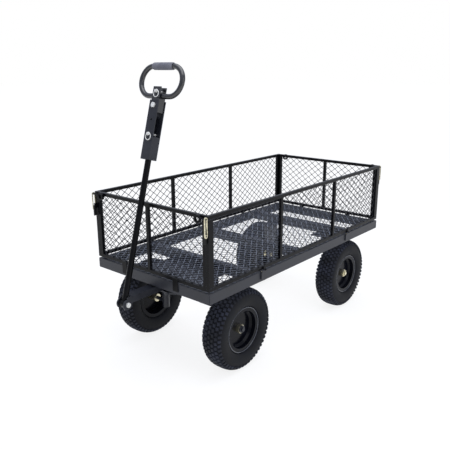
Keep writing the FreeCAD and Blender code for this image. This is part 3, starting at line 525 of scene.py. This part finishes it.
def tread_tree(rows: Sequence[tuple[float, float, float, float, float, float]]) -> bpy.types.NodeTree:
    """Rings of tread blocks round a tyre.

    Args:
        rows: for each ring of blocks its place along the axle, its radius, its lean towards the
            shoulder, its start as a share of one step, its block's length round the tyre and its width.

    Returns:
        The tree, whose tread turns about Z.
    """
    made = Grower("tyre_tread")
    for name in ("Block height", "Block skew"):
        made.size(name)
    made.size("Blocks around", "NodeSocketInt")
    made.size("Material", "NodeSocketMaterial")
    made.begin()
    joined = made.add("GeometryNodeJoinGeometry")
    # A block tapers: half its diagonal at the top and at the foot, as shares of its side.
    top, foot = 0.56, 0.72
    block = made.add("GeometryNodeMeshCone", {"Vertices": 4, "Radius Top": top, "Radius Bottom": foot,
                                              "Depth": made.given("Block height")})
    square = made.add("GeometryNodeTransform", {"Geometry": block.outputs[0],
                                                "Rotation": (0.0, 0.0, math.pi / 4)})
    step = made.sum("DIVIDE", 2 * math.pi, made.given("Blocks around"))
    for along, radius, lean, phase, length, width in rows:
        side = 1 if along >= 0 else -1
        sized = made.add("GeometryNodeTransform",
                         {"Geometry": square.outputs[0], "Scale": (length, width, 1.0)})
        skewed = made.add("GeometryNodeTransform", {
            "Geometry": sized.outputs[0],
            "Rotation": made.vector(z=made.sum("MULTIPLY", made.given("Block skew"), float(side)))})
        leant = made.add("GeometryNodeTransform", {"Geometry": skewed.outputs[0],
                                                   "Rotation": (math.pi / 2 - lean, 0.0, 0.0)})
        upright = made.add("GeometryNodeTransform", {"Geometry": leant.outputs[0],
                                                     "Rotation": (0.0, 0.0, math.pi / 2)})
        ring = made.add("GeometryNodeMeshCircle", {"Vertices": made.given("Blocks around"), "Radius": radius})
        index = made.add("GeometryNodeInputIndex").outputs[0]
        turn = made.sum("MULTIPLY", made.sum("ADD", index, phase), step)
        start = made.add("GeometryNodeTransform",
                         {"Geometry": ring.outputs[0], "Translation": (0.0, 0.0, along),
                          "Rotation": made.vector(z=made.sum("MULTIPLY", step, phase))})
        blocks = made.add("GeometryNodeInstanceOnPoints",
                          {"Points": start.outputs[0], "Instance": upright.outputs[0],
                           "Rotation": made.vector(z=turn)})
        made.tree.links.new(blocks.outputs[0], joined.inputs[0])
    return made.finish(joined.outputs[0])


def weld_bead_tree() -> bpy.types.NodeTree:
    """A row of overlapping ripples along every edge of the base mesh.

    Returns:
        The tree.
    """
    height_share, smallest, largest, seed = 0.6, 0.85, 1.1, 7
    made = Grower("weld_bead")
    made.size("Ripple spacing")
    made.size("Bead radius")
    made.size("Material", "NodeSocketMaterial")
    made.begin()
    seams = made.add("GeometryNodeMeshToCurve", {"Mesh": made.given("Geometry")})
    spots = made.add("GeometryNodeCurveToPoints", {"Curve": seams.outputs[0],
                                                   "Length": made.given("Ripple spacing")}, mode="LENGTH")
    ripple = made.add("GeometryNodeMeshUVSphere", {"Segments": 8, "Rings": 4,
                                                   "Radius": made.given("Bead radius")})
    flat = made.add("GeometryNodeTransform",
                    {"Geometry": ripple.outputs[0], "Scale": (1.0, 1.0, height_share)})
    jitter = made.add("FunctionNodeRandomValue", {"Min": smallest, "Max": largest, "Seed": seed},
                      data_type="FLOAT")
    beads = made.add("GeometryNodeInstanceOnPoints",
                     {"Points": spots.outputs[0], "Instance": flat.outputs[0],
                      "Rotation": spots.outputs["Rotation"]})
    made.tree.links.new(jitter.outputs[1], beads.inputs["Scale"])
    return made.finish(beads.outputs[0])


# ------------------------------------------------------------ sub-assemblies


@dataclass
class MeshPanels:
    """The expanded metal of the deck and of the four sides, which stands for the plain sheets.

    The strands are drawn on the heavy side for their pitch, so that they show against a pale floor.
    """

    long_pitch: float = 40 * MM
    short_pitch: float = 30 * MM
    strand_width: float = 2.1 * MM
    strand_thick: float = 1.5 * MM
    bond: float = 4 * MM
    twist: float = math.radians(4)

    def build(self) -> None:
        """Make the five panels and hide the sheets they stand for."""
        self.tree = diamond_mesh_tree()
        # Each column of a turn says where the flat panel's X, Y or Z goes.
        upright_side = Matrix(((0, 0, 1, 0), (1, 0, 0, 0), (0, 1, 0, 0), (0, 0, 0, 1)))
        upright_end = Matrix(((1, 0, 0, 0), (0, 0, -1, 0), (0, 1, 0, 0), (0, 0, 0, 1)))
        flat = Matrix(((0, 1, 0, 0), (1, 0, 0, 0), (0, 0, -1, 0), (0, 0, 0, 1)))
        for name in ("right", "left"):
            self.panel("diamond_mesh_side_" + name, "side_mesh_" + name, "side_" + name, upright_side,
                       (1, 2), self.twist, Coat.MESH)
        for name in ("front", "rear"):
            self.panel("diamond_mesh_end_" + name, "end_mesh_" + name, "chassis", upright_end, (0, 2),
                       self.twist, Coat.MESH)
        # The deck takes the lighter copy of the mesh powder, a painted highlight.
        self.panel("diamond_mesh_deck", "deck_mesh", "chassis", flat, (1, 0), 0.0, Coat.DECK)

    def panel(self, name: str, node: str, body: str, turn: Matrix, axes: tuple[int, int],
              twist: float, coat: Coat) -> None:
        """Fill one sheet's outline with whole cells.

        Args:
            name: the new piece's name.
            node: the CAD sheet it stands for.
            body: the body it rides on.
            turn: the turn from the tree's flat panel to its place.
            axes: the world axes of its long way and its short way.
            twist: how far each strand is turned out of the sheet.
            coat: its finish.
        """
        low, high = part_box(node)
        length, height = high[axes[0]] - low[axes[0]], high[axes[1]] - low[axes[1]]
        along, across = round(length / self.long_pitch), round(height / self.short_pitch)
        middle = (low + high) / 2
        piece = grow(name, self.tree,
                     {"Long pitch": length / along, "Short pitch": height / across, "Cells along": along,
                      "Cells across": across, "Strand width": self.strand_width,
                      "Strand thickness": self.strand_thick, "Bond": self.bond, "Twist": twist,
                      "Material": coat.material()}, Matrix.Translation(middle) @ turn)
        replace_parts(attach(piece, body), node)
        LOG.info("%s: %d by %d cells of %.1f by %.1f mm", name, along, across,
                 length / along / MM, height / across / MM)


@dataclass
class Wheels:
    """Tyres with their tread, the rims' rolled lips and the valve stems."""

    radius: float = 162.5 * MM
    half_width: float = 44 * MM
    tread_height: float = 4.2 * MM
    blocks_around: int = 52
    block_skew: float = math.radians(12)
    # The rings of blocks from the middle out: place along the axle, depth below the tyre's outside,
    # start as a share of one step, length round the tyre and width, all in mm, and lean in degrees.
    block_rings: tuple[tuple[float, float, float, float, float, float], ...] = (
        (0.0, 4.3, 0.0, 15, 12.5, 0), (14.5, 4.7, 0.5, 15, 12.5, 5),
        (28.0, 7.5, 0.0, 14, 12, 22), (38.6, 15.2, 0.5, 11, 13, 52))
    segments: int = 92
    sharp_degrees: float = 32
    # The middle of the rolled lip's section: its place along the axle and its radius.
    lip_place: tuple[float, float] = (34.6 * MM, 88.6 * MM)
    lip_roll: float = 2.4 * MM
    lip_sides: int = 8
    valve_sides: int = 16
    valve_root: Point = (12 * MM, -73.5 * MM, 0.0)
    valve_lean: float = math.radians(50)
    valve_turn: float = math.radians(-35)

    def casing(self) -> bpy.types.Mesh:
        """The tyre without its tread, with the bead ridge beside the rim.

        Returns:
            A closed mesh turned about Z.
        """
        w, crown = self.half_width, self.radius - self.tread_height
        # Place along the axle and radius, in mm: bead seat, ridge, sidewall, shoulder and crown, and
        # then the hollow side.
        outside = [(31.4, 77.6), (31.4, 91), (35.5, 93.5), (38.6, 94.5), (39.4, 97.6), (41.2, 101),
                   (w / MM, 116), (w / MM, 131), (41.6, 143.5), (36, 152.4),
                   (25, crown / MM - 1.6), (12, crown / MM)]
        inside = [(12, 148), (32, 140), (36, 128), (34, 104), (22.5, 93), (22.5, 77.6)]
        half = [(a * MM, b * MM) for a, b in outside]
        bore = [(a * MM, b * MM) for a, b in inside]
        ring = half + [(-a, b) for a, b in reversed(half)] + [(-a, b) for a, b in reversed(bore)] + bore
        return lathe(rounded(ring, 2), self.segments)

    def build(self) -> None:
        """Make the four tyres and valves."""
        rows = [(side * along * MM, self.radius - depth * MM, side * math.radians(lean), start,
                 length * MM, width * MM)
                for along, depth, start, length, width, lean in self.block_rings
                for side in ((1, -1) if along else (1,))]
        tree = tread_tree(rows)
        for place in ("front_right", "front_left", "rear_right", "rear_left"):
            low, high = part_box("tyre_" + place)
            turn = Matrix.Translation((low + high) / 2) @ Matrix.Rotation(math.pi / 2, 4, "Y")
            tread = grow("tyre_tread_" + place, tree,
                         {"Block height": self.tread_height, "Block skew": self.block_skew,
                          "Blocks around": self.blocks_around, "Material": Coat.TREAD.material()}, turn)
            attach(tread, "wheel_" + place)
            casing = self.turned("tyre_casing_" + place, self.casing(), turn, Coat.RUBBER)
            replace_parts(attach(casing, "wheel_" + place), "tyre_" + place)
            outward = turn if low.x > 0 else turn @ Matrix.Rotation(math.pi, 4, "X")
            # The lip wears a lighter copy of the enamel, a painted highlight.
            lip = self.turned("rim_lip_" + place, self.lip(), outward, Coat.LIP)
            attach(lip, "wheel_" + place)
            self.valve(place, (low + high) / 2)
            LOG.info("%s: %d faces", tread.name, len(tread.data.polygons))

    def turned(self, name: str, mesh: bpy.types.Mesh, turn: Matrix, coat: Coat) -> bpy.types.Object:
        """Put a lathe-turned mesh on a wheel.

        Args:
            name: the new piece's name.
            mesh: the mesh, turned about Z.
            turn: the place of the wheel's middle, with its axle along Z.
            coat: its finish.

        Returns:
            The piece.
        """
        mesh.transform(turn)
        mesh.materials.append(coat.material())
        smooth(mesh, self.sharp_degrees)
        LOG.info("%s: %d faces", name, len(mesh.polygons))
        return new_piece(name, mesh)

    def lip(self) -> bpy.types.Mesh:
        """The rolled edge of the rim's outer flange.

        Returns:
            A closed ring turned about Z.
        """
        (along, radius), roll = self.lip_place, self.lip_roll
        turns = [2 * math.pi * k / self.lip_sides for k in range(self.lip_sides)]
        section = [(along + roll * math.cos(a), radius + roll * math.sin(a)) for a in turns]
        return lathe(section, self.segments)

    def valve(self, place: str, centre: Vector) -> None:
        """The rubber valve stem with its cap, which leans out of the rim's barrel.

        Args:
            place: which wheel.
            centre: the middle of that wheel.
        """
        outward = 1 if centre.x > 0 else -1
        # Height and radius, in mm: the foot, the stem and the cap.
        outline = [(0, 0.2), (0, 4.6), (4, 4.2), (6, 3.0), (14, 2.7), (14.5, 3.4), (24, 3.4), (25, 2.6),
                   (25, 0.2)]
        mesh = lathe([(a * MM, b * MM) for a, b in outline], self.valve_sides)
        lean = Matrix.Rotation(-self.valve_lean * outward, 4, "Z")
        x, y, z = self.valve_root
        root = Matrix.Translation((x * outward, y, z))
        mesh.transform(Matrix.Translation(centre) @ Matrix.Rotation(self.valve_turn, 4, "X") @ root
                       @ lean @ Matrix.Rotation(-math.pi / 2, 4, "X"))
        mesh.materials.append(Coat.RUBBER.material())
        smooth(mesh)
        piece = new_piece("valve_stem_" + place, mesh)
        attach(piece, "wheel_" + place)
        LOG.info("%s: %d faces", piece.name, len(mesh.polygons))


@dataclass
class HandleGrip:
    """The foam sleeve on the upper bar of the pull ring."""

    swell: float = 0.36 * MM
    foam_thick: float = 3.9 * MM
    stations: tuple[float, ...] = (-0.9, -0.5, 0.0, 0.5, 0.9)
    # How the ends are softened: share of the half length, and how far below the outside.
    end_steps: tuple[tuple[float, float], ...] = ((0.985, 1.1 * MM), (1.0, 2.4 * MM))
    segments: int = 40

    def build(self) -> None:
        """Turn the sleeve with soft ends and a slight swell, and put it on the bar."""
        low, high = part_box("grip")
        radius, half = (high.z - low.z) / 2, (high.x - low.x) / 2
        outer = [(half * s, radius - self.swell * s * s) for s in self.stations]
        ends = [(half * s, radius - depth) for s, depth in self.end_steps]
        ends.append((half, radius - self.foam_thick))
        ring = outer + ends + [(-a, b) for a, b in reversed(ends)]
        mesh = lathe(rounded(ring, 2), self.segments)
        mesh.transform(Matrix.Translation((low + high) / 2) @ Matrix.Rotation(math.pi / 2, 4, "Y"))
        mesh.materials.append(Coat.FOAM.material())
        smooth(mesh)
        piece = new_piece("foam_grip", mesh)
        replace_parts(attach(piece, "pull_handle"), "grip")
        LOG.info("%s: %.0f mm long", piece.name, 2 * half / MM)


@dataclass
class WeldBeads:
    """The fillet welds where tubes and plates meet."""

    radius: float = 1.9 * MM
    spacing: float = 2.2 * MM
    short_of_end: float = 3 * MM
    inset: float = 1 * MM
    bracket_run: float = 57 * MM
    post_run: float = 22 * MM
    tube_half: float = 6.2 * MM
    sharp_degrees: float = 60

    def build(self) -> None:
        """Lay the beads of the chassis and of the two long sides."""
        self.tree = weld_bead_tree()
        self.lay("weld_beads_chassis", "chassis", self.chassis_seams())
        for name in ("right", "left"):
            self.lay("weld_beads_side_" + name, "side_" + name, self.side_seams("side_mesh_" + name))

    def chassis_seams(self) -> list[tuple[Point, Point]]:
        """Seams of the beam's brackets, the rear hangers and the rails' corners.

        Returns:
            Start and end of each seam.
        """
        seams = []
        short = self.short_of_end
        rail_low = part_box("rail_front")[0]
        for sign in (-1, 1):
            for node, face in (("rail_front", -1), ("rail_rear", 1)):
                low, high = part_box(node)
                y = low.y + self.inset if face < 0 else high.y - self.inset
                seams.append(((sign * high.x, y, low.z + short), (sign * high.x, y, high.z - short)))
        low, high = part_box("front_beam_brackets")
        beam_low, beam_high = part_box("front_axle_beam")
        for sign in (-1, 1):
            near, far = sign * (high.x - self.bracket_run), sign * (high.x - short)
            for y in (low.y, high.y):
                seams.append(((near, y, rail_low.z), (far, y, rail_low.z)))
                seams.append(((sign * high.x, y, beam_low.z + short),
                              (sign * high.x, y, beam_high.z - short)))
        low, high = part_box("rear_axle_brackets")
        for sign in (-1, 1):
            seams.append(((sign * high.x, low.y + short, high.z), (sign * high.x, high.y - short, high.z)))
        return seams

    def side_seams(self, node: str) -> list[tuple[Point, Point]]:
        """Seams at the feet and heads of a long side's posts.

        Args:
            node: the side's sheet, whose outline lies inside the tube frame.

        Returns:
            Start and end of each seam.
        """
        low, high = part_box(node)
        x = (low.x + high.x) / 2 + math.copysign(self.tube_half, low.x)
        seams = []
        for z in (low.z, high.z):
            for y, side in ((low.y, -1), (high.y, 1)):
                seams.append(((x, y + side * self.short_of_end, z), (x, y + side * self.post_run, z)))
        return seams

    def lay(self, name: str, body: str, seams: Iterable[tuple[Point, Point]]) -> None:
        """Lay beads along straight seams.

        Args:
            name: the new piece's name.
            body: the body it rides on.
            seams: start and end of each seam.
        """
        ends = [p for seam in seams for p in seam]
        lines = bpy.data.meshes.new(name + "_lines")
        lines.from_pydata([tuple(p) for p in ends], [(i, i + 1) for i in range(0, len(ends), 2)], [])
        piece = grow(name, self.tree, {"Ripple spacing": self.spacing, "Bead radius": self.radius,
                                       "Material": Coat.SATIN.material()}, base=lines)
        smooth(piece.data, self.sharp_degrees)
        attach(piece, body)
        LOG.info("%s: %d faces", name, len(piece.data.polygons))


@dataclass
class CadPieces:
    """The CAD pieces that show as they are, each in the finish of its slot."""

    square_tube: tuple[str, ...] = ("side_frame", "end_frame", "latch_pegs", "drawbar")
    bent_tube: tuple[str, ...] = ("pull_ring", "handle_shank")
    sealed: tuple[str, ...] = ("_bolt", "_pin")

    def build(self) -> None:
        """Give every CAD node its finish; tube takes its own powders."""
        by_slot = {coat.slot: coat for coat in reversed(Coat)}
        for part in frame["record"]["subparts"]:
            coat = by_slot[part["material_slot"]]
            # Square tube takes the darker copy of the powder, which paints shade.
            if part["node"].startswith(self.square_tube):
                coat = Coat.TUBE
            if part["node"].startswith(self.bent_tube):
                coat = Coat.BENT
            if part["node"].endswith(self.sealed):
                coat = Coat.BRIGHT
            piece = frame["nodes"][part["node"]]
            piece.data.materials.clear()
            piece.data.materials.append(coat.material())
            LOG.info("%s: %s", part["node"], coat.name)


# ------------------------------------------------------------------- studio


@dataclass
class Studio:
    """The pale floor, the soft lights and the camera."""

    azimuth: float = 40.83
    elevation: float = 15.91
    roll: float = -0.31
    lens: float = 44.9
    camera_at: Point = (1.4987, -1.8567, 1.1336)
    paper: str = "7c7c7c"
    # The paper glows a little, as on a light table, so it stays near white under a soft light.
    floor_glow: float = 0.84
    # The room's light on the cart is faintly blue, and grows from the horizon to near the zenith.
    room_tint: str = "e9efff"
    horizon: float = 0.4
    zenith: float = 1.1
    zenith_from: float = 0.9
    # Each lamp's name, place, aim, width in metres and power in watts.
    lamps: tuple[tuple[str, Point, Point, float, float], ...] = (
        ("softbox_overhead", (0.3, -0.2, 2.8), (0.0, 0.0, 0.3), 2.2, 30.0),
        ("softbox_right", (2.6, -0.4, 1.6), (0.0, 0.0, 0.35), 1.6, 8.0))
    floor_reach: float = 30.0

    def build(self) -> None:
        """Set the stage, the lights and the camera."""
        self.floor()
        self.lights()
        self.camera()

    def floor(self) -> None:
        """A plain pale floor that runs out of sight."""
        mesh = bpy.data.meshes.new("studio_floor")
        far = self.floor_reach
        mesh.from_pydata([(-far, -far, 0), (far, -far, 0), (far, far, 0), (-far, far, 0)], [], [(0, 1, 2, 3)])
        material = bpy.data.materials.new("matt_paper_backdrop")
        material.use_nodes = True
        tree = material.node_tree
        tree.nodes.clear()
        shader = add_node(tree, "ShaderNodeBsdfPrincipled",
                          {"Base Color": linear(self.paper), "Roughness": 0.9, "Specular IOR Level": 0.1,
                           "Emission Color": linear("ffffff"), "Emission Strength": self.floor_glow})
        add_node(tree, "ShaderNodeOutputMaterial", {"Surface": shader.outputs["BSDF"]})
        mesh.materials.append(material)
        new_piece("studio_floor", mesh)

    def lights(self) -> None:
        """A white room, one large overhead softbox and one at the right."""
        world = bpy.data.worlds.new("white_room")
        world.use_nodes = True
        tree = world.node_tree
        tree.nodes.clear()
        up = add_node(tree, "ShaderNodeSeparateXYZ",
                      {0: add_node(tree, "ShaderNodeTexCoord").outputs["Generated"]}).outputs[2]
        sky = add_node(tree, "ShaderNodeMapRange", {"Value": up, "From Min": 0.0,
                                                    "From Max": self.zenith_from,
                                                    "To Min": self.horizon, "To Max": self.zenith})
        # Seen directly, the room is plain white.
        seen = add_node(tree, "ShaderNodeLightPath").outputs["Is Camera Ray"]
        strength = add_node(tree, "ShaderNodeMath", {0: sky.outputs["Result"], 1: seen}, operation="MAXIMUM")
        colour = add_node(tree, "ShaderNodeMix", {"A": linear(self.room_tint), "B": linear("ffffff")},
                          data_type="RGBA")
        tree.links.new(seen, colour.inputs["Factor"])
        room = add_node(tree, "ShaderNodeBackground", {"Color": colour.outputs["Result"],
                                                       "Strength": strength.outputs[0]})
        add_node(tree, "ShaderNodeOutputWorld", {"Surface": room.outputs[0]})
        bpy.context.scene.world = world
        for name, at, aim, size, power in self.lamps:
            data = bpy.data.lights.new(name, "AREA")
            data.size = size
            data.energy = power
            lamp = bpy.data.objects.new(name, data)
            lamp.location = at
            lamp.rotation_mode = "QUATERNION"
            lamp.rotation_quaternion = (Vector(aim) - Vector(at)).to_track_quat("-Z", "Y")
            bpy.context.scene.collection.objects.link(lamp)
        bpy.context.scene.view_settings.view_transform = "Standard"

    def camera(self) -> None:
        """A camera at chest height, off the cart's front right corner."""
        a, e, r = (math.radians(v) for v in (self.azimuth, self.elevation, self.roll))
        back = Vector((math.sin(a) * math.cos(e), -math.cos(a) * math.cos(e), math.sin(e)))
        right = Vector((math.cos(a), math.sin(a), 0.0))
        up = back.cross(right)
        right, up = (math.cos(r) * right + math.sin(r) * up), (math.cos(r) * up - math.sin(r) * right)
        data = bpy.data.cameras.new("studio_camera")
        data.lens = self.lens
        data.clip_start, data.clip_end = 0.05, 100.0
        camera = bpy.data.objects.new("studio_camera", data)
        turn = Matrix((right, up, back)).transposed().to_4x4()
        camera.matrix_world = Matrix.Translation(self.camera_at) @ turn
        bpy.context.scene.collection.objects.link(camera)
        bpy.context.scene.camera = camera


def main() -> None:
    """Build the cart's visual pieces in order."""
    logging.basicConfig(level=logging.INFO, format="%(name)s %(message)s")
    CadPieces().build()
    MeshPanels().build()
    Wheels().build()
    HandleGrip().build()
    WeldBeads().build()
    Studio().build()


if __name__ == "__main__":
    main()
